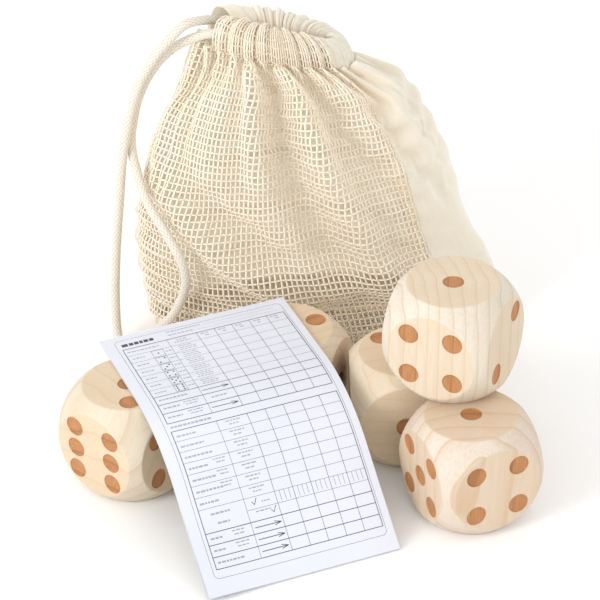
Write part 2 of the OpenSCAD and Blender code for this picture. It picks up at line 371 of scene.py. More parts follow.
def make_camera():
    """Looks down at the set from the front, through a long lens."""
    target = Vector((0.004, 0.165, 0.0))
    distance, down, roll = 2.364, math.radians(33.16), math.radians(-1.7)
    back = Vector((0, -math.cos(down), math.sin(down)))
    data = bpy.data.cameras.new("camera")
    data.lens, data.sensor_width = 180, 36
    data.clip_start, data.clip_end = 0.1, 30
    camera = bpy.data.objects.new("camera", data)
    bpy.context.scene.collection.objects.link(camera)
    turned = (-back).to_track_quat("-Z", "Y").to_matrix().to_4x4() @ Matrix.Rotation(roll, 4, "Z")
    camera.matrix_world = Matrix.Translation(target + back * distance) @ turned
    bpy.context.scene.camera = camera


def make_floor():
    """A plain pale floor, a little below the set."""
    half, low = 6.0, -0.0002
    points = [(-half, -half, low), (half, -half, low), (half, half, low), (-half, half, low)]
    floor = new_object("floor", points, [(0, 1, 2, 3)])
    material, tree, surface = new_material("studio_floor", 0.9, 0.1)
    mottle = ramp(tree, noise(tree, object_coords(tree), 3.0, 1.0), [(0, 0.93), (1, 0.95)])
    tree.links.new(mottle, surface.inputs["Base Color"])
    floor.data.materials.append(material)


def area_light(name, place, size, power):
    """A round lamp that faces the set's middle."""
    data = bpy.data.lights.new(name, "AREA")
    data.shape, data.size, data.energy = "DISK", size, power
    light = bpy.data.objects.new(name, data)
    light.location = place
    light.rotation_euler = (Vector((0, 0.1, 0.05)) - Vector(place)).to_track_quat("-Z", "Y").to_euler()
    bpy.context.scene.collection.objects.link(light)


def make_light():
    """A pale studio, a soft lamp at the left and a weaker one in front."""
    world = bpy.data.worlds.new("studio")
    bpy.context.scene.world = world
    world.use_nodes = True
    background = world.node_tree.nodes["Background"]
    background.inputs["Color"].default_value = (1, 1, 1, 1)
    background.inputs["Strength"].default_value = 1.04
    area_light("key", (-1.7, -1.3, 1.1), 1.1, 22)
    area_light("fill", (0.6, -1.8, 1.0), 1.8, 5)
    bpy.context.scene.view_settings.view_transform = "Standard"


# ---- the bag's outline, as in the CAD source -------------------------------------------------

# Each row is one ring, in layout millimetres:
# height, middle X, half width, middle Y, half depth, fall per mm towards +X
BAG_ROWS = np.array([
    [0, 20, 116, -20, 2.4, 0],
    [0, 20, 128, -20, 48, 0],
    [10, 19, 134, -20, 59, 0],
    [40, 14, 134, -22, 67, 0],
    [92, 2, 125, -22, 69, 0],
    [140, -2, 113, -22, 62, 0],
    [184, -4, 96, -22, 50, 0.04],
    [218, -4, 75, -20, 34, 0.11],
    [235, -12, 57, -20, 24, 0.23],
    [256, -13, 51, -20, 22.4, 0.3],
], float)
LEFT_SEAM, RIGHT_SEAM = 192, 318
# The net's casing starts here and the canvas's ends here, so that the cord can come out
NET_CASING_FROM, CANVAS_CASING_TO = 216, 510
CASING_DEPTH = 11.0


def bag_row(v):
    """Outline values at row number v, on a smooth curve through the rows."""
    v = np.asarray(v, float)
    last = len(BAG_ROWS) - 1
    i = np.minimum(np.floor(v), last - 1).astype(int)
    t = (v - i)[..., None]
    p, q = BAG_ROWS[np.maximum(i - 1, 0)], BAG_ROWS[i]
    r, s = BAG_ROWS[i + 1], BAG_ROWS[np.minimum(i + 2, last)]
    return q + 0.5 * t * ((r - p) + t * ((2 * p - 5 * q + 4 * r - s) + t * (3 * q - p - 3 * r + s)))


def bag_point(v, angle, inset=0.0):
    """Points of the bag's outside at row v and angle, in layout millimetres."""
    v, angle = np.broadcast_arrays(np.asarray(v, float), np.radians(angle))
    row = bag_row(v)
    x = (row[..., 2] - inset) * np.cos(angle)
    y = (row[..., 4] - inset) * np.sin(angle)
    return np.stack([row[..., 1] + x, row[..., 3] + y, row[..., 0] - row[..., 5] * x], -1)


def casing_middle(angle):
    """Middle of the drawcord's channel."""
    return (bag_point(8, angle, CASING_DEPTH / 2) + bag_point(9, angle, CASING_DEPTH / 2)) / 2


# ---- drawcord --------------------------------------------------------------------------------

CORD_D = 7.0
CORD_SIDES = 36
BRAID_TURN = 9.0
KNOT_AT, KNOT_D = np.array([-124.0, -86.0]), 19.0
TAIL_TURNS, TAIL_LEN = (-72, -38), 22
# Radii of the cord where it is pulled tight in the knot and in the tails, and of the whippings
KNOT_CORD_R, TAIL_R, WHIPPING_R = 3.2, 3.35, 3.7
# The free strands' routes, from the casing to the knot, in layout millimetres
BACK_STRAND = [
    (-66, -22, 262), (-78, -31, 263.5), (-89, -35, 255), (-103, -36, 238), (-116, -36, 213),
    (-124, -36, 184), (-130, -37, 154), (-134, -38, 120), (-138, -41, 86), (-141, -44, 52),
    (-142, -49, 24), (-141, -56, 8), (-138, -67, 3.5), (-132, -80, 3.5),
]
FRONT_STRAND = [
    (-64, -29, 254), (-76, -27, 249), (-89, -26, 241), (-103, -26, 226), (-115, -26, 203),
    (-121, -27, 180), (-123, -29, 164), (-120, -41, 149), (-112, -61, 132), (-99, -78, 115),
    (-89, -87, 98), (-85, -88, 81), (-88, -84, 62), (-96, -78, 42), (-107, -72, 26),
    (-116, -69, 13), (-120, -70, 5.5), (-120.5, -75, 3.5),
]


def braid_height(along, turn):
    """Height of a round braid's strands, 1 on top of a strand and 0 in the grooves between."""
    lay = along * TAU / (BRAID_TURN * MM)
    left, right = 4 * turn + lay, 4 * turn - lay
    over = np.cos(left) * np.cos(right)
    ridges = np.where(over > 0, np.abs(np.sin(left)), np.abs(np.sin(right)))
    return np.clip(1 - ridges**2 * 0.9, 0, 1) ** 0.6


def braid(along, turn):
    """Relief of the braided cord."""
    return 0.6 * MM * (braid_height(along, turn) - 0.75)


def whipping(along, turn):
    """Relief of the thread that is wound round a cord's end."""
    return 0.12 * MM * np.cos(along * TAU / (0.9 * MM))


def mark_groove_shade(piece, line=None):
    """Keeps the braid's height at each point, for the painted shade in the cord's grooves. Without a line it
    is 1.
    """
    values = np.ones(len(piece.data.vertices), np.float32)
    if line is not None:
        turn = np.arange(CORD_SIDES)[None] * TAU / CORD_SIDES
        height = braid_height(distance_along(line)[:, None], turn).ravel()
        values[: len(height)] = height
    piece.data.attributes.new("strand", "FLOAT", "POINT").data.foreach_set("value", values)


def cord_cotton():
    """Unbleached braid, with painted shade: a darker colour down in the grooves between its strands."""
    material, tree, surface = new_material("cord_cotton", 0.9, 0.12, 0.25)
    fibres = noise(tree, object_coords(tree), 1300.0, 4.0, 0.65)
    strand = node(tree, "Attribute", out="Fac", attribute_name="strand")
    pale = mixed(tree, between(tree, fibres, 0.3, 0.7), srgb(220, 212, 198), srgb(240, 233, 221))
    # Painted shade: the grooves between the braid's strands get the darker colour, by the strand height.
    tinted(tree, surface, between(tree, strand, 0.2, 0.62), srgb(176, 162, 142), pale)
    bump(tree, surface, fibres, 0.5, 0.0004)
    return material


def make_strand(name, start, route):
    """A free strand of the drawcord, and its middle line."""
    line = evenly(in_frame(curve_through(np.concatenate([[start], route]), 24)), 0.5 * MM)
    piece = new_object(name, *tube(line, CORD_D / 2 * MM, CORD_SIDES, braid))
    mark_groove_shade(piece, line)
    return piece, line


def knot_line():
    """An overhand knot drawn up into a ball, lying on the ground."""
    t = np.linspace(0, TAU, 160, endpoint=False)
    size = (KNOT_D - CORD_D) / 2 / 3
    x, y = np.sin(t) + 2 * np.sin(2 * t), np.cos(t) - 2 * np.cos(2 * t)
    z = -1.15 * np.sin(3 * t)
    ball = np.stack([KNOT_AT[0] + size * x, KNOT_AT[1] + size * y, KNOT_D / 2 - 1.5 + 2.2 * z], -1)
    return in_frame(ball)


def tails():
    """The cord's two ends past the knot, each with thread wound round it."""
    parts = []
    for turn in TAIL_TURNS:
        way = np.array([math.cos(math.radians(turn)), math.sin(math.radians(turn)), 0])
        out = np.linspace(KNOT_D / 2 - 2, KNOT_D / 2 + TAIL_LEN, 50)[:, None]
        line = in_frame(np.array([*KNOT_AT, CORD_D / 2]) + way * out)
        parts.append(tube(line, TAIL_R * MM, CORD_SIDES, braid))
        parts.append(tube(line[-13:-4], WHIPPING_R * MM, 26, whipping))
    return joined(parts)


def make_cords():
    """The drawcord: knot, tails, both free strands and the run inside the casings."""
    cotton = cord_cotton()
    knot = new_object("cord_knot", *tube(knot_line(), KNOT_CORD_R * MM, CORD_SIDES, braid, closed=True))
    mark_groove_shade(knot, knot_line())
    finish_piece(knot, "bag", "cotton_cord", cotton, "drawcord_knot")
    tail_piece = new_object("cord_tails", *tails())
    mark_groove_shade(tail_piece)
    finish_piece(tail_piece, "bag", "cotton_cord", cotton, "drawcord_tails")
    for side, angle, route, ends in (("back", 150, BACK_STRAND, [knot, tail_piece]),
                                     ("front", NET_CASING_FROM, FRONT_STRAND, [knot])):
        start = casing_middle(angle)
        piece, line = make_strand(f"cord_{side}_strand", start, route)
        finish_piece(piece, "bag", "cotton_cord", cotton, f"drawcord_{side}_strand")
    inner = casing_middle(np.arange(NET_CASING_FROM, CANVAS_CASING_TO + 1, 3.0))
    hidden = new_object("cord_in_casing", *tube(evenly(in_frame(inner), 1.2 * MM), CORD_D / 2 * MM, 20))
    mark_groove_shade(hidden)
    finish_piece(hidden, "bag", "cotton_cord", cotton, "drawcord_in_casing")


# ---- dice ------------------------------------------------------------------------------------

DIE_EDGE = 80.0
BALL_R = 52.0
FLAT_R = math.sqrt(BALL_R**2 - (DIE_EDGE / 2) ** 2)
RIM_BLEND = 0.6
PIP_R, PIP_PITCH = 7.5, 16.5
BORDER_STEPS = 28
# From the outside in: a pip's rings as (radius less the pip's radius, depth, how burnt)
PIP_RINGS = [(0.5, 0, 0), (0.12, 0, 0.1), (0, 0.08, 0.8), (-0.2, 0.45, 1), (-0.5, 0.75, 1), (-1.1, 0.8, 1)]
# Turns that bring the face with each number up, as in the CAD source
FACE_TURNS = [(0, 0, 0), (0, 90, 0), (-90, 0, 0), (90, 0, 0), (0, -90, 0), (180, 0, 0)]


def turned(degrees):
    """Rotation about X, then Y, then Z."""
    x, y, z = (math.radians(d) for d in degrees)
    return Matrix.Rotation(z, 4, "Z") @ Matrix.Rotation(y, 4, "Y") @ Matrix.Rotation(x, 4, "X")


def pip_places(number):
    """Middles of a face's pips, in millimetres from the face's middle."""
    places = [(0, 0)] if number % 2 else []
    places += [(1, -1), (-1, 1)] if number >= 2 else []
    places += [(1, 1), (-1, -1)] if number >= 4 else []
    places += [(1, 0), (-1, 0)] if number == 6 else []
    stretch = 1.1 if number == 6 else 1
    return [(x * PIP_PITCH, y * PIP_PITCH * stretch) for x, y in places]


def circle(middle, radius, count):
    """Points evenly round a circle."""
    turn = np.arange(count) * TAU / count
    return np.stack([middle[0] + radius * np.cos(turn), middle[1] + radius * np.sin(turn)], -1)


def die_face(number):
    """One face with its pips and its share of the ball. Points are in millimetres, face up."""
    half = DIE_EDGE / 2
    side = np.linspace(-half, half, BORDER_STEPS + 1)[:-1]
    edge = np.full(BORDER_STEPS, half)
    borders = (side, -edge), (edge, side), (-side, edge), (-edge, -side)
    loops = [np.concatenate([np.stack(border, -1) for border in borders])]
    loops += [circle((0, 0), FLAT_R + d, 110) for d in (-2.2, -1.4, -0.9, -0.45, 0, 0.45, 0.9, 1.4)]
    for place in pip_places(number):
        loops += [circle(place, PIP_R + ring[0], 40) for ring in PIP_RINGS]
    loose = np.concatenate([circle((0, 0), r, 90) for r in np.arange(FLAT_R + 3.5, half * 1.42, 2.2)])
    loose = loose[np.abs(loose).max(1) < half - 1.2]
    points = np.concatenate([*loops, loose])
    edges, base = [], 0
    for loop in loops:
        count = len(loop)
        edges += [(base + i, base + (i + 1) % count) for i in range(count)]
        base += count
    made, _, faces, *_ = delaunay_2d_cdt([Vector(p) for p in points], edges, [], 0, 1e-5)
    flat = np.array([tuple(p) for p in made])
    return flat, np.array([tuple(f) for f in faces if len(f) == 3])


def die_surface(flat, number):
    """Lifts a face's points onto the die, and says how flat and how burnt each one is."""
    spread = np.linalg.norm(flat, axis=1)
    plane_r = np.sqrt(spread**2 + (DIE_EDGE / 2) ** 2)
    share = np.clip(0.5 + 0.5 * (BALL_R - plane_r) / RIM_BLEND, 0, 1)
    r = BALL_R * (1 - share) + plane_r * share - RIM_BLEND * share * (1 - share)
    points = np.concatenate([flat, np.full((len(flat), 1), DIE_EDGE / 2)], 1) * (r / plane_r)[:, None]
    burn = np.zeros(len(flat))
    ring_at, ring_depth, ring_burn = np.array(PIP_RINGS[::-1], float).T
    for place in pip_places(number):
        away = np.linalg.norm(flat - place, axis=1) - PIP_R
        points[:, 2] -= np.interp(away, ring_at, ring_depth, right=0)
        burn = np.maximum(burn, np.interp(away, ring_at, ring_burn, right=0))
    return points, np.clip(FLAT_R + 0.3 - spread, 0, 1), burn


def die_mesh():
    """The shape that all five dice share."""
    shape = bmesh.new()
    flat_layer = shape.verts.layers.float.new("flat")
    burn_layer = shape.verts.layers.float.new("burn")
    for number, turn in enumerate(FACE_TURNS, 1):
        flat, faces = die_face(number)
        points, flatness, burn = die_surface(flat, number)
        turn = turned(turn)
        verts = []
        for point, level, char in zip(points, flatness, burn):
            vert = shape.verts.new(turn @ (Vector(point) * MM))
            vert[flat_layer], vert[burn_layer] = level, char
            verts.append(vert)
        for face in faces:
            shape.faces.new([verts[i] for i in face])
    bmesh.ops.remove_doubles(shape, verts=shape.verts, dist=0.02 * MM)
    bmesh.ops.recalc_face_normals(shape, faces=shape.faces)
    for face in shape.faces:
        face.smooth = True
    mesh = bpy.data.meshes.new("die")
    shape.to_mesh(mesh)
    shape.free()
    return mesh


# Each die: its turn about +Z, the roll that brings a number up, and its wood: the direction of
# the fibres and a point of the tree's middle line, as seen in the set, with the die's middle at
# the origin, then pale and dark wood, ring gap and ring contrast
DICE = {
    "die_left": (50, (90, 0, 90), (0.5, 0.4, 0.77), (0.12, 0.1, -0.12),
                 srgb(220, 209, 190), srgb(194, 171, 139), 0.0125, 0.5),
    "die_middle": (70, (90, 0, 0), (0.9, 0.42, 0.1), (0.0, 0.09, 0.1),
                   srgb(218, 205, 186), srgb(198, 169, 133), 0.008, 0.5),
    "die_rear": (0, (90, 0, 0), (0.93, 0.35, 0.04), (0.0, -0.09, 0.15),
                 srgb(222, 209, 188), srgb(201, 175, 141), 0.009, 0.45),
    "die_front": (24, (0, 0, 0), (0.05, 0.06, 1), (0.01, -0.12, 0),
                  srgb(218, 207, 194), srgb(196, 163, 127), 0.0145, 0.6),
    "die_top": (63, (0, 0, -90), (0.04, 0.05, 1), (-0.2, -0.03, 0),
                srgb(222, 215, 201), srgb(196, 173, 144), 0.0085, 0.6),
}


def make_dice():
    """The five dice, each of its own piece of wood."""
    shared = die_mesh()
    for name, (turn, roll, fibre, pith, *wood) in DICE.items():
        low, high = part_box(name)
        piece = bpy.data.objects.new("wood_" + name, shared.copy())
        bpy.context.scene.collection.objects.link(piece)
        spin = Matrix.Rotation(math.radians(turn), 4, "Z") @ turned(roll)
        piece.matrix_world = Matrix.Translation((low + high) / 2) @ spin
        own = spin.to_3x3().transposed()
        fibre, pith = tuple(own @ Vector(fibre).normalized()), tuple(own @ Vector(pith))
        finish_piece(piece, name, "pine", pine("pine_" + name, fibre, pith, *wood), name)


# ---- score pad -------------------------------------------------------------------------------

SHEET_W, SHEET_LEN = 143.0, 241.0
PAD_AT, PAD_TURN = (-146.0, -173.0), 21
PAD_FLAT, PAD_BEND = 84.0, 77.0
PAD_FALL = DIE_EDGE + 0.3
CARD_T, STACK_T, SHEET_GAP, TOP_T = 0.6, 1.2, 0.1, 0.2
TOP_RISE = CARD_T + STACK_T + SHEET_GAP + TOP_T
SLAB_COLS, SLAB_ROWS = 22, 60
STACK_LAYERS, LAYER_T = 8, 0.12
CURL_H, CURL_REACH = 5.0, 62.0


def pad_slope():
    """Slope of the pad's straight part, which brings its lower edge to the ground."""
    low, high = math.radians(5), math.radians(80)
    tail = SHEET_LEN - PAD_FLAT - PAD_BEND
    for _ in range(40):
        middle = (low + high) / 2
        fall = PAD_BEND / middle * (1 - math.cos(middle)) + tail * math.sin(middle)
        low, high = (middle, high) if fall < PAD_FALL else (low, middle)
    return low


PAD_SLOPE = pad_slope()
PAD_R = PAD_BEND / PAD_SLOPE


def corner_curl(across, along):
    """How far the top sheet's lower left corner stands off the stack."""
    into = across + (SHEET_LEN - along) * 0.8
    return CURL_H * np.clip(1 - into / CURL_REACH, 0, 1) ** 1.7


def pad_surface(across, along, rise):
    """Point of the pad, in metres: across and along the sheet from its back left corner, and
    above the pad's underside, all in millimetres."""
    across, along, rise = np.broadcast_arrays(*(np.asarray(x, float) for x in (across, along, rise)))
    angle = np.clip((along - PAD_FLAT) / PAD_BEND, 0, 1) * PAD_SLOPE
    past = np.maximum(0, along - PAD_FLAT - PAD_BEND)
    forward = np.minimum(along, PAD_FLAT) + PAD_R * np.sin(angle)
    forward = forward + past * np.cos(angle) + rise * np.sin(angle)
    up = PAD_FALL - PAD_R * (1 - np.cos(angle)) - past * np.sin(angle) + rise * np.cos(angle)
    c, s = math.cos(math.radians(PAD_TURN)), math.sin(math.radians(PAD_TURN))
    x = PAD_AT[0] + across * c + forward * s
    y = PAD_AT[1] + across * s - forward * c
    return in_frame(np.stack([x, y, up], -1))


def sheet_slab(low, thick, left=0.0, top=0.0, curl=0.0, trim=0.0):
    """A thin slab of the pad. curl scales the lift of its lower left corner."""
    across = np.linspace(left, SHEET_W + left, SLAB_COLS)
    along = np.linspace(top, SHEET_LEN + top - trim, SLAB_ROWS)
    s, a = np.meshgrid(along, across, indexing="ij")
    lift = curl * corner_curl(a, s)
    faces = grid_quads(SLAB_ROWS, SLAB_COLS)
    points = np.concatenate([pad_surface(a, s, low + lift).reshape(-1, 3),
                             pad_surface(a, s, low + thick + lift).reshape(-1, 3)])
    count = SLAB_ROWS * SLAB_COLS
    place = np.arange(count).reshape(SLAB_ROWS, SLAB_COLS)
    rim = np.concatenate([place[0], place[1:, -1], place[-1, -2::-1], place[-2::-1, 0]])
    walls = np.stack([rim[:-1], rim[1:], rim[1:] + count, rim[:-1] + count], -1)
    return points, np.concatenate([faces, faces[:, ::-1] + count, walls[:, ::-1]]), NO_TRIS


class Print:
    """Ink on the top sheet, as thin patches just above it. Places are millimetres across and
    along the sheet."""

    LIFT = 0.06
    STEP = 4

    def __init__(self):
        self.parts = []

    def on_sheet(self, across, along):
        """Points just above the curled top sheet."""
        up = TOP_RISE + corner_curl(across, along) + self.LIFT
        return pad_surface(across, along, up).reshape(-1, 3)

    def patch(self, corners):
        """A four-cornered patch, cut up so that it follows the sheet."""
        a, b, c, d = (np.array(p, float) for p in corners)
        long = max(np.linalg.norm(b - a), np.linalg.norm(c - d))
        tall = max(np.linalg.norm(d - a), np.linalg.norm(c - b))
        n, m = (max(2, math.ceil(size / self.STEP) + 1) for size in (long, tall))
        u, v = np.meshgrid(np.linspace(0, 1, n), np.linspace(0, 1, m))
        u, v = u[..., None], v[..., None]
        flat = (1 - v) * ((1 - u) * a + u * b) + v * ((1 - u) * d + u * c)
        self.parts.append((self.on_sheet(flat[..., 0], flat[..., 1]), grid_quads(m, n), []))

    def bar(self, x, y, width, height):
        self.patch([(x, y), (x + width, y), (x + width, y + height), (x, y + height)])

    def line(self, start, end, width):
        start, end = np.array(start, float), np.array(end, float)
        way = (end - start) / np.linalg.norm(end - start)
        off = np.array([-way[1], way[0]]) * width / 2
        self.patch([start - off, end - off, end + off, start + off])

    def path(self, points, width):
        for start, end in zip(points, points[1:]):
            self.line(start, end, width)

    def dot(self, x, y, radius):
        sides = 10
        fan = [(0, i, i + 1) for i in range(1, sides - 1)]
        self.parts.append((self.on_sheet(*circle((x, y), radius, sides).T), [], fan))

    def words(self, x, y, width, height, seed):
        """A line of stand-in text: a few plain dashes."""
        random = np.random.default_rng(seed)
        end = x + width
        while x < end - 0.6:
            dash = min(random.uniform(1.2, 3.4), end - x)
            self.bar(x, y, dash, height)
            x += dash + 0.7

    def frame(self, x0, y0, x1, y1, width, corner=0.0):
        if corner:
            arcs = []
            for cx, cy, first in ((x1 - corner, y0 + corner, -90), (x1 - corner, y1 - corner, 0),
                                  (x0 + corner, y1 - corner, 90), (x0 + corner, y0 + corner, 180)):
                for turn in np.radians(np.linspace(first, first + 90, 6)):
                    arcs.append((cx + corner * math.cos(turn), cy + corner * math.sin(turn)))
            self.path(arcs + arcs[:1], width)
        else:
            self.path([(x0, y0), (x1, y0), (x1, y1), (x0, y1), (x0, y0)], width)

    def arrow(self, x0, x1, y):
        self.line((x0, y), (x1, y), 0.55)
        for rise in (-1.5, 1.5):
            self.line((x1 - 5, y + rise), (x1, y), 0.5)

    def object(self, name):
        return new_object(name, *joined(self.parts), smooth=False)


# The score table's sides, where its notes and its games' columns start, and its lines' widths
LEFT, RIGHT = 11.5, 136.0
NOTE, GAMES = 45.0, 68.0
GAME_COUNT = 5
THIN, BOLD = 0.22, 0.5


def game_x(i, parts=GAME_COUNT):
    """Left edge of column i, where the games' columns are cut into equal parts."""
    return GAMES + (RIGHT - GAMES) * i / parts


def game_lines(ink, top, bottom):
    for i in range(GAME_COUNT):
        ink.line((game_x(i), top), (game_x(i), bottom), THIN * 1.3)


def die_icon(ink, x, y, size, number):
    ink.frame(x, y, x + size, y + size * 0.92, THIN)
    scale = size * 0.26 / PIP_PITCH
    for px, py in pip_places(number):
        ink.dot(x + size / 2 + px * scale, y + size * 0.46 + py * scale, size * 0.085)


def upper_table(ink, faint, top, row):
    """Header, a row for each face of a die, and three rows of totals."""
    rows = 10
    bottom = top + rows * row
    ink.frame(LEFT, top, RIGHT, bottom, BOLD)
    for i in range(1, rows):
        ink.line((LEFT, top + i * row), (RIGHT, top + i * row), BOLD if i >= 7 else THIN)
    ink.line((NOTE, top), (NOTE, bottom), THIN)
    game_lines(ink, top, bottom)
    for x in np.arange(LEFT + 1, RIGHT - 1, 1.3):
        faint.line((x, top + 0.9), (x + 0.8, top + 0.2), THIN)
    faint.words(LEFT + 2, top + 4, 24, 1.2, 1)
    faint.words(NOTE + 6, top + 2.6, 8, 1, 2)
    faint.words(NOTE + 4, top + 5.2, 13, 1, 3)
    for i in range(GAME_COUNT):
        faint.words(game_x(i) + 2, top + 2.2, 6, 1, 4 + i)
        faint.words(game_x(i) + 5, top + 5, 3, 1, 5 + i)
    for i in range(6):
        y = top + (i + 1) * row
        faint.words(LEFT + 3, y + 3.8, 9, 1.2, 20 + i)
        die_icon(ink, LEFT + 18, y + 0.4, row * 0.92, i + 1)
        faint.words(LEFT + 28, y + 3.8, 5, 1, 30 + i)
        for k in range(3):
            faint.words(NOTE + 4.5 + k % 2, y + 1.6 + 2.3 * k, 11 + k, 0.8, 40 + 3 * i + k)
    for i, width in ((7, 22), (8, 12), (9, 11)):
        y = top + i * row
        faint.words(LEFT + 2.5, y + 3.6, width, 1.4, 60 + i)
        if i > 7:
            faint.words(LEFT + 18, y + 2, 11, 0.8, 70 + i)
            faint.words(LEFT + 19, y + 4.6, 9, 0.8, 80 + i)
    ink.arrow(NOTE + 1.5, GAMES - 1.5, top + 7.5 * row)
    faint.words(NOTE + 5, top + 8.4 * row, 12, 1.2, 90)
    ink.arrow(NOTE + 1.5, GAMES - 1.5, top + 9.5 * row)
    return bottom


def lower_table(ink, faint, top, row):
    """Seven rows for combinations, a bonus row with small boxes, and three rows of totals."""
    plain, rows = 7, 12
    bottom = top + rows * row
    ink.frame(LEFT, top, RIGHT, bottom, BOLD)
    ink.line((NOTE, top), (NOTE, bottom), THIN)
    game_lines(ink, top, bottom)
    for i in range(1, rows):
        start = NOTE if i == 8 else LEFT
        ink.line((start, top + i * row), (RIGHT, top + i * row), BOLD if i >= 9 else THIN)
    for i in range(plain):
        y = top + i * row
        faint.words(LEFT + 2.5, y + 4, 14 + 3 * (i % 3), 1.3, 100 + i)
        if i in (3, 4, 5):
            faint.words(LEFT + 21, y + 1.6, 9, 0.8, 110 + i)
            faint.words(LEFT + 23, y + 4, 6, 0.8, 115 + i)
        faint.words(NOTE + 6, y + 1.8, 11, 0.9, 120 + i)
        faint.words(NOTE + 8, y + 4.6, 7, 0.9, 130 + i)
    y = top + plain * row
    faint.words(LEFT + 8, y + 4, 14, 1.3, 140)
    faint.words(LEFT + 11, y + 11, 9, 1.3, 141)
    boxes = GAME_COUNT * 4
    for i in range(1, boxes):
        x = game_x(i, boxes)
        ink.line((x, y), (x, y + row * 0.85), THIN)
    ink.path([(NOTE + 5, y + 3), (NOTE + 6.5, y + 5.6), (NOTE + 9, y + 1)], 0.45)
    faint.words(NOTE + 12, y + 4, 6, 0.9, 142)
    faint.words(NOTE + 6, y + row + 1.6, 11, 0.9, 143)
    ink.path([(GAMES - 6, y + row + 3), (GAMES - 4.5, y + row + 5.4), (GAMES - 2, y + row + 0.8)], 0.4)
    for i in (9, 10, 11):
        y = top + i * row
        faint.words(LEFT + 2.5, y + 3.6, 9 if i < 11 else 21, 1.3, 150 + i)
        if i < 11:
            faint.words(LEFT + 19, y + 1.8, 10, 0.8, 160 + i)
            faint.words(LEFT + 20, y + 4.4, 8, 0.8, 170 + i)
        ink.arrow(NOTE + 2, GAMES - 1.5, y + row / 2)


def make_print():
    """The score table. All its words are plain dashes."""
    ink, faint = Print(), Print()
    ink.frame(8.5, 6, 137.5, 229, THIN, corner=3.5)
    for x, width in ((12.5, 4.6), (18, 3.2), (22, 3.2), (26, 2.4), (29.2, 3.4), (33.4, 3.2)):
        ink.bar(x, 11.2, width, 3.4)
    faint.words(48, 8.4, 26, 1.1, 200)
    faint.words(48, 12.6, 20, 1.1, 201)
    faint.line((76, 9.8), (131, 9.8), THIN)
    faint.line((70, 14), (133, 14), THIN)
    bottom = upper_table(ink, faint, 18, 9.4)
    faint.words(LEFT + 1, bottom + 3, 30, 1.6, 202)
    lower_table(ink, faint, bottom + 7.4, 8.6)
    return ink.object("pad_print_lines"), faint.object("pad_print_dashes")


def glue_edge():
    """A thin, slightly wavy strip of glue along the pad's back edge."""
    height = CARD_T + STACK_T
    along = np.array([-1.0, -1.0, -0.7, 0.05, 0.05])
    up = np.array([0.15, height - 0.25, height, height, 0])
    across = np.linspace(0, SHEET_W, 30)
    wave = 0.08 * np.sin(across * 0.9) + 0.06 * np.sin(across * 2.3 + 1)
    rings = [pad_surface(a, along + w * (along < 0), up) for a, w in zip(across, wave)]
    return np.concatenate(rings), grid_quads(len(rings), len(along), True)


def make_pad():
    """The score pad: card, stack and glue, with the loose top sheet and its print."""
    white = paper("sheet_paper", srgb(220, 222, 230), srgb(212, 214, 224))
    card = paper("backing_card", srgb(226, 221, 210), srgb(206, 200, 188), 0.85, 500.0)
    glue = paper("padding_glue", srgb(240, 241, 246), srgb(228, 230, 238), 0.4, 200.0)
    ink = paper("table_ink", srgb(88, 90, 100), srgb(62, 64, 74), 0.6)
    pale_ink = paper("dash_ink", srgb(176, 178, 190), srgb(150, 153, 166), 0.6)
    backing = new_object("pad_card", *sheet_slab(0, CARD_T), smooth=False)
    finish_piece(backing, "score_pad", "card", card, "pad_backing_card")
    layers = []
    for i in range(STACK_LAYERS):
        shift, slide = rng.uniform(-0.18, 0.18), rng.uniform(-0.05, 0.25)
        low = CARD_T + STACK_T * i / STACK_LAYERS
        layers.append(sheet_slab(low, LAYER_T, shift, slide, 0.12 * i / STACK_LAYERS))
    stack = new_object("pad_stack", *joined(layers), smooth=False)
    finish_piece(stack, "score_pad", "paper", white, "pad_sheet_stack")
    edge = new_object("pad_glue", *glue_edge())
    finish_piece(edge, "score_pad", "glue", glue, "pad_glue_edge")
    top = new_object("pad_sheet", *sheet_slab(TOP_RISE - TOP_T, TOP_T, 0, 0.3, 1.0, 0.3), smooth=False)
    finish_piece(top, "top_sheet", "paper", white, "pad_top_sheet")
    lines, dashes = make_print()
    finish_piece(lines, "top_sheet", "paper", ink)
    finish_piece(dashes, "top_sheet", "paper", pale_ink)


# ---- bag cloth -------------------------------------------------------------------------------

# A cell of the net, across and up
CELL, CELL_UP = 4.2, 5.4
NET_COLS, CANVAS_COLS = 62, 98
COLS = NET_COLS + CANVAS_COLS
BASE_ROWS, SIDE_ROWS = 11, 52
# The net's folds stand out this many times the heights that are listed
NET_FOLD_GAIN = 1.7
# How far the cloth stays off the ground
GROUND_GAP = 0.8

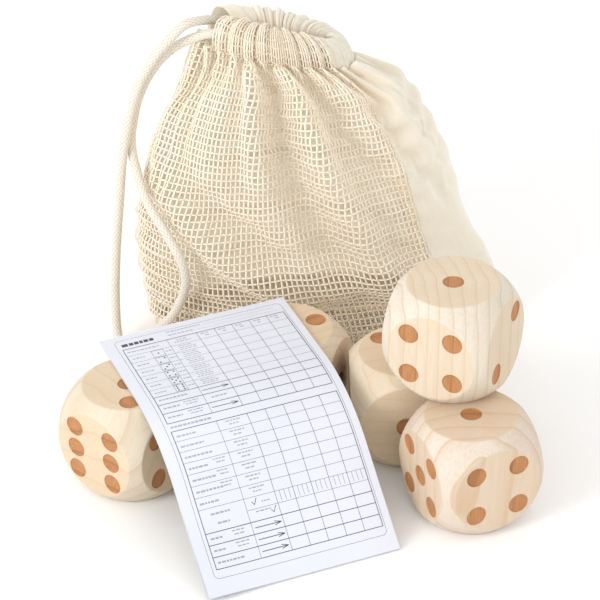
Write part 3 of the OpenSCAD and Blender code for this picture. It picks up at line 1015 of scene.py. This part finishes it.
# Folds seen from outside. Each is a list of (row number, angle, height in mm, half width in mm)
# from the neck down. A negative height is a valley.
FOLDS = [
    # net: a valley to the left seam, a broad bulge with a crisp right edge, and the valley
    # beyond it, which widens downwards
    [(7.9, 232, -3, 5), (7.4, 222, -7, 6), (6.95, 203, -6, 8), (6.4, 197, -3, 9), (5.9, 193, 0, 10)],
    [(7.8, 240, 2, 7), (6.9, 236, 6, 12), (6.1, 236, 6, 16), (5.4, 236, 4, 18), (4.8, 236, 0, 20)],
    [(8.0, 251, 3, 4), (7.35, 251, 7, 4), (6.3, 255, 8, 5), (5.55, 258, 6, 6), (4.9, 260, 0, 8)],
    [(8.0, 259, -4, 4), (6.9, 261, -10, 6), (6.3, 265, -13, 8), (5.55, 270, -14, 12),
     (4.85, 275, -14, 15), (4.2, 282, -11, 15), (3.5, 284, 0, 16)],
    # net: the ridge that overhangs this valley, and softer folds towards the right seam
    [(8.0, 271, 3, 4), (7.4, 272, 8, 5), (6.9, 273, 10, 5), (6.35, 277, 12, 6), (5.35, 283, 14, 8),
     (4.55, 290, 13, 9), (3.65, 297, 9, 10), (3.0, 299, 0, 12)],
    [(7.6, 282, -3, 5), (6.6, 292, -6, 8), (5.6, 304, -6, 10), (4.6, 313, 0, 12)],
    [(7.8, 294, 3, 6), (6.65, 303, 5, 8), (5.65, 312, 4, 10), (4.7, 318, 0, 12)],
    # net: a slanting ridge low on the left, and the hollow above it
    [(5.35, 194, 0, 9), (5.1, 212, 8, 10), (4.65, 227, 11, 11), (4.25, 239, 11, 11), (3.8, 252, 9, 12),
     (3.4, 265, 4, 14), (3.0, 270, 0, 14)],
    [(5.1, 224, 0, 14), (4.6, 242, -7, 14), (4.2, 256, -7, 14), (3.8, 268, 0, 14)],
    # canvas, right side
    [(7.8, 327, -2, 5), (6.8, 322, -6, 6), (5.6, 325, -7, 7), (4.7, 337, -5, 9), (4.2, 343, 0, 10)],
    [(7.2, 332, 2, 6), (6.2, 331, 6, 8), (5.2, 338, 5, 9), (4.6, 344, 0, 10)],
    [(4.6, 342, 0, 12), (3.9, 346, 8, 15), (3.2, 346, 8, 15), (2.4, 344, 0, 15)],
    # canvas, behind
    [(7.0, 390, 0, 8), (6.0, 388, 8, 12), (4.8, 380, 8, 16), (3.6, 372, 0, 18)],
    [(7.2, 410, 0, 8), (6.0, 412, -8, 12), (4.8, 410, -7, 16), (3.4, 408, 0, 18)],
    [(7.2, 435, 0, 8), (6.0, 430, 9, 12), (4.6, 422, 8, 18), (3.2, 420, 0, 22)],
    [(7.0, 460, 0, 8), (6.2, 458, -9, 12), (5.0, 452, -8, 18), (4.0, 448, 0, 20)],
    [(7.2, 490, 0, 8), (6.0, 488, 9, 12), (4.8, 490, 8, 18), (3.4, 494, 0, 22)],
    [(6.8, 525, 0, 8), (5.8, 523, -7, 12), (4.6, 520, -6, 16), (3.8, 518, 0, 18)],
]
# Level folds: (row number, angle, height in mm, half height in mm, half width in mm)
LEVEL_FOLDS = [
    (4.62, 262, 5, 6, 40), (4.38, 262, -4, 6, 40), (3.65, 284, 9, 8, 38), (3.2, 286, -10, 8, 38),
    (4.1, 450, 6, 12, 50), (3.6, 430, -6, 12, 60), (3.3, 490, 6, 12, 50), (3.9, 350, -4, 9, 25),
]
# Gathers: (pleats round the bag, rows, their heights in mm at those rows, share left on the net)
GATHERS = [
    (27, (7.0, 7.5, 8.0), (0, 3.4, 5.0), 1.0),
    (14, (5.7, 6.6, 7.4, 8.0), (0, 3.5, 5.0, 0.5), 0.35),
    (8, (3.8, 5.2, 6.5, 7.3), (0, 2.5, 4.5, 0), 0.15),
]


def even_steps(curve, first, last, count):
    """Values from first to last that cut a curve into equally long steps."""
    fine = np.linspace(first, last, 600)
    run = distance_along(curve(fine))
    return np.interp(np.linspace(0, run[-1], count + 1), run, fine)


def cloth_lattice():
    """Row numbers and angles of the cloth's cells before it is folded. The last angle closes
    the ring."""
    side = even_steps(lambda v: bag_point(v, 270), 1, 8, SIDE_ROWS)
    rows = np.concatenate([np.linspace(0, 1, BASE_ROWS + 1)[:-1], side])
    net = even_steps(lambda angle: bag_point(4, angle), LEFT_SEAM, RIGHT_SEAM, NET_COLS)
    canvas = even_steps(lambda angle: bag_point(4, angle), RIGHT_SEAM, LEFT_SEAM + 360, CANVAS_COLS)
    return rows, np.concatenate([net[:-1], canvas])


def surface_normals(grid):
    """Outward normals of a closed grid of rings that are stacked upwards."""
    around = np.roll(grid, -1, 1) - np.roll(grid, 1, 1)
    return unit(np.cross(around, np.gradient(grid, axis=0)))


def gather_phase(column, pleats, k=0):
    """Where a column stands in its pleat. The pleats are not all of one width."""
    turn = TAU * np.asarray(column, float) / COLS
    return pleats * turn + 0.7 * np.sin(3 * turn + k) + 0.5 * np.sin(5 * turn + 2 * k + 1)


def row_levels(rows):
    """How far up the bag's front each row is, along the cloth."""
    numbers = np.arange(len(BAG_ROWS))
    front = distance_along(bag_point(numbers[1:].astype(float), 270))
    return np.interp(rows, numbers, np.concatenate([[0], front]))


def folded(start, normals, rows, angles):
    """The unfolded bag with its drawn folds and gathers added."""
    run = np.cumsum(np.linalg.norm(np.roll(start, -1, 1) - start, axis=2), axis=1)
    length = run[:, -1]
    run = np.concatenate([np.zeros((len(rows), 1)), run[:, :-1]], 1)
    lift = np.zeros(run.shape)
    columns = np.arange(COLS)

    def hump(j, angle, wide):
        """A hump of height 1 in ring j, round an angle."""
        column = np.interp((angle - LEFT_SEAM) % 360 + LEFT_SEAM, angles, columns)
        gap = run[j] - np.interp(column, columns, run[j])
        gap = (gap + length[j] / 2) % length[j] - length[j] / 2
        return np.exp(-((gap / wide) ** 2))

    for fold in FOLDS:
        v, angle, height, width = np.array(sorted(fold)).T
        gain = NET_FOLD_GAIN if angle[-1] < RIGHT_SEAM else 1.0
        angle = np.degrees(np.unwrap(np.radians(angle)))
        for j, row in enumerate(rows):
            if v[0] < row < v[-1]:
                tall, middle, wide = (np.interp(row, v, values) for values in (height, angle, width))
                lift[j] += gain * tall * hump(j, middle, wide)
    level = row_levels(rows)
    for v, angle, height, half, wide in LEVEL_FOLDS:
        at = np.interp(v, np.arange(len(BAG_ROWS)), np.interp(np.arange(len(BAG_ROWS)), rows, level))
        for j in range(len(rows)):
            lift[j] += height * math.exp(-(((level[j] - at) / half) ** 2)) * hump(j, angle, wide)
    on_net = np.interp(columns, [0, 6, NET_COLS - 6, NET_COLS], [0, 1, 1, 0])
    for k, (pleats, at, heights, left) in enumerate(GATHERS):
        tall = np.interp(rows, at, heights, left=0)
        share = (1 + (left - 1) * on_net) * (1 + 0.25 * np.sin(7 * TAU * columns / COLS + k))
        lift += tall[:, None] * (share * np.sin(gather_phase(columns, pleats, k)))[None]
    return start + normals * lift[..., None]


def cell_sizes(cloth, start, rows):
    """What each cell's sides settle to: near the woven size, but long enough for the folds."""
    to_woven = np.where(np.arange(COLS) < NET_COLS, 0.4, 0.65)[None]
    to_woven = np.clip((rows - 1) / 1.2, 0, 1)[:, None] * to_woven
    across = np.linalg.norm(np.roll(start, -1, 1) - start, axis=2)
    across = across * (1 - to_woven) + CELL * to_woven
    laid = np.linalg.norm(np.roll(cloth, -1, 1) - cloth, axis=2)
    across = np.maximum(across, np.minimum(laid, 1.15 * CELL))
    upward = np.linalg.norm(np.diff(start, axis=0), axis=2)
    laid = np.linalg.norm(np.diff(cloth, axis=0), axis=2)[BASE_ROWS:]
    upward[BASE_ROWS:] = np.clip(laid, CELL_UP, 1.1 * CELL_UP)
    return across, upward


def averaged(field, reach):
    """A field on the closed grid, averaged over the cells up to reach away, round and up."""
    steps = range(-reach, reach + 1)
    field = sum(np.roll(field, k, 1) for k in steps) / len(steps)
    last = len(field) - 1
    return sum(field[np.clip(np.arange(len(field)) + k, 0, last)] for k in steps) / len(steps)


# One step of the settling: how strongly the threads and the cells' slants pull, how much the
# cloth is smoothed, how far it goes back to its drawn folds, and how far it sinks, in mm
THREAD_PULL, SLANT_PULL, SMOOTHING, KEEP_FOLDS, SINK = 0.9, 0.06, 0.08, 0.35, 0.02


def settle(cloth, start, rows, steps):
    """Lets the cloth settle: each cell comes back to its woven size, while the bag keeps its
    drawn folds and the base and the neck stay where they are."""
    across, upward = cell_sizes(cloth, start, rows)
    slant = np.hypot(across[:-1], upward)
    held = np.r_[: BASE_ROWS + 1, len(rows) - 1]
    drawn = cloth.copy()
    columns = np.arange(COLS)

    def pull(a, b, wanted, strength):
        """Moves two lots of points together or apart, towards the wanted distance."""
        gap = cloth[b] - cloth[a]
        now = np.maximum(np.linalg.norm(gap, axis=-1, keepdims=True), 1e-9)
        move = strength * 0.5 * gap * (1 - wanted[..., None] / now)
        cloth[a] += move
        cloth[b] -= move

    for step in range(steps):
        for odd in (0, 1):
            a = columns[odd::2]
            pull((slice(None), a), (slice(None), (a + 1) % COLS), across[:, a], THREAD_PULL)
            j = np.arange(odd, len(rows) - 1, 2)
            pull(j, j + 1, upward[j], THREAD_PULL)
            for lean in (1, -1):
                pull((j[:, None], columns[None]), (j[:, None] + 1, (columns + lean)[None] % COLS),
                     slant[j], SLANT_PULL)
        smooth = (np.roll(cloth, 1, 1) + np.roll(cloth, -1, 1)) / 2
        cloth += SMOOTHING * (smooth - cloth)
        cloth[1:-1] += SMOOTHING * ((cloth[2:] + cloth[:-2]) / 2 - cloth[1:-1])
        if step % 4 == 0:
            cloth -= KEEP_FOLDS * averaged(cloth - drawn, 3)
        cloth[..., 2] = np.maximum(cloth[..., 2] - SINK, GROUND_GAP)
        cloth[held] = drawn[held]
    return cloth


def refined(grid):
    """A grid with CLOTH_SPANS spans for each one, on smooth curves through its points."""
    for _ in range(2):
        grid = np.stack([curve_through(grid[:, i], CLOTH_SPANS) for i in range(grid.shape[1])])
    return grid


def make_bag_grid():
    """The bag's cloth in layout millimetres: rows from the base seam up to the neck, columns
    from the left seam across the net and round the canvas."""
    rows, angles = cloth_lattice()
    angles = angles[:-1]
    start = bag_point(rows[:, None], angles[None])
    normals = surface_normals(start)
    normals[: BASE_ROWS + 1] = (0, 0, -1)
    start[: BASE_ROWS + 2, :, 2] = np.maximum(start[: BASE_ROWS + 2, :, 2], GROUND_GAP)
    steps = 160
    cloth = settle(folded(start, normals, rows, angles), start, rows, steps)
    normals = surface_normals(cloth)
    normals[:BASE_ROWS] = (0, 0, -1)
    return cloth, normals


def thread(line, normals, wave, radius, sides=5):
    """A thread through the cells' corners that goes over and under the threads it crosses."""
    path = np.empty((2 * len(line) - 1, 3))
    path[::2], path[1::2] = line + normals * wave[:, None], (line[1:] + line[:-1]) / 2
    path[3:-3:2] += ((line[1:-2] + line[2:-1]) / 2 - (line[:-3] + line[3:]) / 2) / 8
    face = np.empty_like(path)
    face[::2], face[1::2] = normals, unit(normals[1:] + normals[:-1])
    side = unit(np.cross(unit(np.gradient(path, axis=0)), face))
    points = (path[:, None] + radius * circles_round(side, face, sides)).reshape(-1, 3)
    end = (len(path) - 1) * sides
    caps = [(0, i + 1, i) for i in range(1, sides - 1)]
    caps += [(end, end + i, end + i + 1) for i in range(1, sides - 1)]
    return points, grid_quads(len(path), sides, True), caps


def net_threads(grid, normals, radius=0.74, over=0.2):
    """Threads along both ways of a grid of cells, as one mesh in metres."""
    rows, cols = grid.shape[:2]
    weave = np.where((np.arange(rows)[:, None] + np.arange(cols)[None]) % 2, over, -over)
    parts = [thread(grid[:, i], normals[:, i], weave[:, i], radius) for i in range(cols)]
    parts += [thread(grid[j], normals[j], -weave[j], radius) for j in range(rows)]
    points, quads, tris = joined(parts)
    return in_frame(points), quads, tris


CLOTH_SPANS = 2


def thicken(piece, thick):
    """Gives a sheet its thickness in millimetres, half of it on each side."""
    solid = piece.modifiers.new("thickness", "SOLIDIFY")
    solid.thickness, solid.offset = thick * MM, 0


def flat_uv(rows, cols, width, height):
    """Flat coordinates in metres of a grid of cells of one size, in millimetres."""
    v, u = np.meshgrid(np.arange(rows), np.arange(cols), indexing="ij")
    return np.stack([u * width, v * height], -1).reshape(-1, 2) * MM


def cloth_piece(name, grid, thick):
    """A smooth sheet through a grid of layout points, with its own flat coordinates."""
    smooth = refined(grid)
    rows, cols = smooth.shape[:2]
    uv = flat_uv(rows, cols, CELL / CLOTH_SPANS, CELL_UP / CLOTH_SPANS)
    piece = new_object(name, in_frame(smooth.reshape(-1, 3)), grid_quads(rows, cols), uv=uv)
    thicken(piece, thick)
    return piece


STITCH, STITCH_GAP, SEWING_R = 2.6, 1.2, 0.32


def stitches(line, normals):
    """Short thread stitches along a line, which dip into the cloth at both ends."""
    along = distance_along(line)
    height = np.array([-0.25, 0.2, 0.34, 0.2, -0.25])[:, None]
    parts = []
    for begin in np.arange(0.6, along[-1] - STITCH, STITCH + STITCH_GAP):
        at = begin + STITCH * np.array([0, 0.2, 0.5, 0.8, 1])
        face = unit(points_at(normals, along, at))
        parts.append(tube(points_at(line, along, at) + face * height, SEWING_R, 6))
    points, quads, tris = joined(parts)
    return in_frame(points), quads, tris


CASING_H = 21.0
# How far each casing bulges into the mouth, and how broad its pleats are: less is broader
CANVAS_CASING, NET_CASING = (9.0, 0.6), (6.5, 0.7)
NET_PLEATS = 2.3
# Cross-section of a casing, from its outer lower edge over the top to its inner lower edge:
# (inset, height above row 8, share of the pleats, share of the bulge into the mouth)
CASING_SECTION = [
    (0.5, 0, 1.0, 0), (-0.2, 4, 1.0, 0), (-0.3, 9, 1.0, 0), (-0.1, 14, 1.0, 0), (0.8, 18, 1.0, 0.05),
    (3, 20.5, 1.0, 0.15), (6, 21.5, 1.0, 0.35), (9.4, 20, 1.0, 0.65), (11.4, 16, 1.0, 0.9),
    (12, 11, 1.0, 1), (11.8, 6, 0.8, 0.9), (10.8, 2, 0.5, 0.8), (7, -0.6, 0.3, 0.4), (3, -0.8, 0.6, 0.1),
]


def casing_grid(angle, columns, heights, bulge, crisp):
    """Points of a gathered casing, by column and place on its cross-section, in layout
    millimetres, and the way out from the drawcord at each of them. Columns may be between
    whole ones, and heights gives the pleats' height by column."""
    inset, height, pleat, inward = np.array(CASING_SECTION).T
    phase = gather_phase(columns, GATHERS[0][0])
    wide, narrow = (np.abs(np.sin(turns)) ** crisp for turns in (phase / 2 + 0.8, 1.15 * phase + 0.4))
    fold = (1.6 * wide + 0.5 * narrow - 0.5) * np.interp(columns, *heights)
    push = bulge * np.abs(np.sin(np.radians(angle)))[:, None] * inward
    low, high = (bag_point(row, angle[:, None], inset + push) for row in (8, 9))
    tall = CASING_H * (1 + 0.035 * np.sin(phase * 0.5 + 1))[:, None]
    points = low + (high - low) * (height / tall)[..., None]
    out = unit(points - casing_middle(angle)[:, None])
    return points + out * (fold[:, None] * pleat)[..., None], out


def make_casings(canvas, net):
    """The channels at the neck: gathered canvas behind, gathered net in front."""
    _, angles = cloth_lattice()
    numbers = np.arange(COLS + 1)
    first, last = np.interp([RIGHT_SEAM, CANVAS_CASING_TO], angles, numbers)
    columns = np.linspace(first, last, 420)
    heights = ([first, first + 14, first + 26, last - 26, last - 12, last], [0.4, 1.0, 3.0, 3.0, 0.5, 0.1])
    points, _ = casing_grid(np.interp(columns, numbers, angles), columns, heights, *CANVAS_CASING)
    points = np.stack([curve_through(np.concatenate([p, p[:1]]), 3)[:-1] for p in points])
    count, sides = points.shape[:2]
    uv = flat_uv(count, sides, 1.4, 0.9)
    back = new_object("canvas_channel", in_frame(points.reshape(-1, 3)),
                      grid_quads(count, sides, True), uv=uv[:, ::-1])
    thicken(back, 0.9)
    finish_piece(back, "bag", "cotton_canvas", canvas, "canvas_casing")
    first = np.interp(NET_CASING_FROM, angles, numbers)
    columns = np.linspace(first, NET_COLS, NET_COLS - round(first) + 1)
    points, out = casing_grid(np.interp(columns, numbers, angles), columns, ([0], [NET_PLEATS]), *NET_CASING)
    front = new_object("net_channel", *net_threads(points, out, 0.6, 0.25))
    finish_piece(front, "bag", "cotton_net", net, "net_casing")
    return back, front


def make_seam(name, grid, normals, column, way, canvas, node_name):
    """A turned-in seam allowance beside a column."""
    first = BASE_ROWS + 4
    columns = [column, (column + way) % COLS, (column + 2 * way) % COLS]
    band = grid[first:, columns] - normals[first:, columns] * np.array([1.0, 1.6, 1.4])[None, :, None]
    piece = cloth_piece(name, band[:, ::way], 1.2)
    finish_piece(piece, "bag", "cotton_canvas", canvas, node_name)
    return piece


def make_stitching(grid, normals, around):
    """The stitches beside both side seams and round the canvas's neck."""
    sewn = []
    for column, way in ((NET_COLS, 1), (0, -1)):
        line = grid[:, column] * 0.55 + grid[:, (column + way) % COLS] * 0.45
        sewn.append(stitches(line[BASE_ROWS + 2 :], normals[BASE_ROWS + 2 :, column]))
    sewn.append(stitches(grid[-3, around], normals[-3, around]))
    piece = new_object("seam_stitches", *joined(sewn))
    sewing = yarn("sewing_thread", srgb(240, 230, 208), srgb(216, 202, 174), 3000.0)
    return finish_piece(piece, "bag", "cotton_canvas", sewing)


def make_label(grid, normals):
    """The blank care label, inside the net at the upper left."""
    place = slice(BASE_ROWS + 35, BASE_ROWS + 43), slice(1, 8)
    piece = cloth_piece("blank_label", grid[place] - normals[place] * 3.2, 0.4)
    satin = woven("satin", srgb(238, 234, 228), srgb(226, 220, 214), 0.4 * MM, 0.5, 0.1)
    return finish_piece(piece, "bag", "satin_label", satin, "care_label")


def make_base_seam(canvas):
    """The rolled seam along the middle of the bag's base."""
    u = np.linspace(0, 1, 60)
    line = np.stack([-90 + 220 * u, -20 + 0.6 * np.sin(u * 40), 3.4 + 0.3 * np.sin(u * 63)], -1)
    piece = new_object("base_seam", *tube(in_frame(line), 2.2 * MM, 12))
    return finish_piece(piece, "bag", "cotton_canvas", canvas, "bottom_seam")


def make_bag():
    """The bag: net in front, canvas behind, with its casings, seams, stitches and label."""
    canvas = woven("canvas", srgb(250, 237, 215), srgb(241, 224, 198), 0.9 * MM)
    net = yarn("net_yarn", srgb(255, 243, 220), srgb(253, 233, 204), 2200.0, 0.2)
    grid, normals = make_bag_grid()
    front = new_object("bag_net", *net_threads(grid[:, : NET_COLS + 1], normals[:, : NET_COLS + 1]))
    finish_piece(front, "bag", "cotton_net", net, "net_front_panel")
    around = np.r_[NET_COLS:COLS, 0]
    back = cloth_piece("bag_canvas", grid[:, around], 0.8)
    finish_piece(back, "bag", "cotton_canvas", canvas, "canvas_back_panel")
    channel, net_channel = make_casings(canvas, net)
    left = make_seam("left_seam_band", grid, normals, 0, 1, canvas, "left_side_seam")
    right = make_seam("right_seam_band", grid, normals, NET_COLS, -1, canvas, "right_side_seam")
    sewn = make_stitching(grid, normals, around)
    label = make_label(grid, normals)
    roll = make_base_seam(canvas)


make_camera()
make_cords()
make_floor()
make_light()
make_dice()
make_pad()
make_bag()
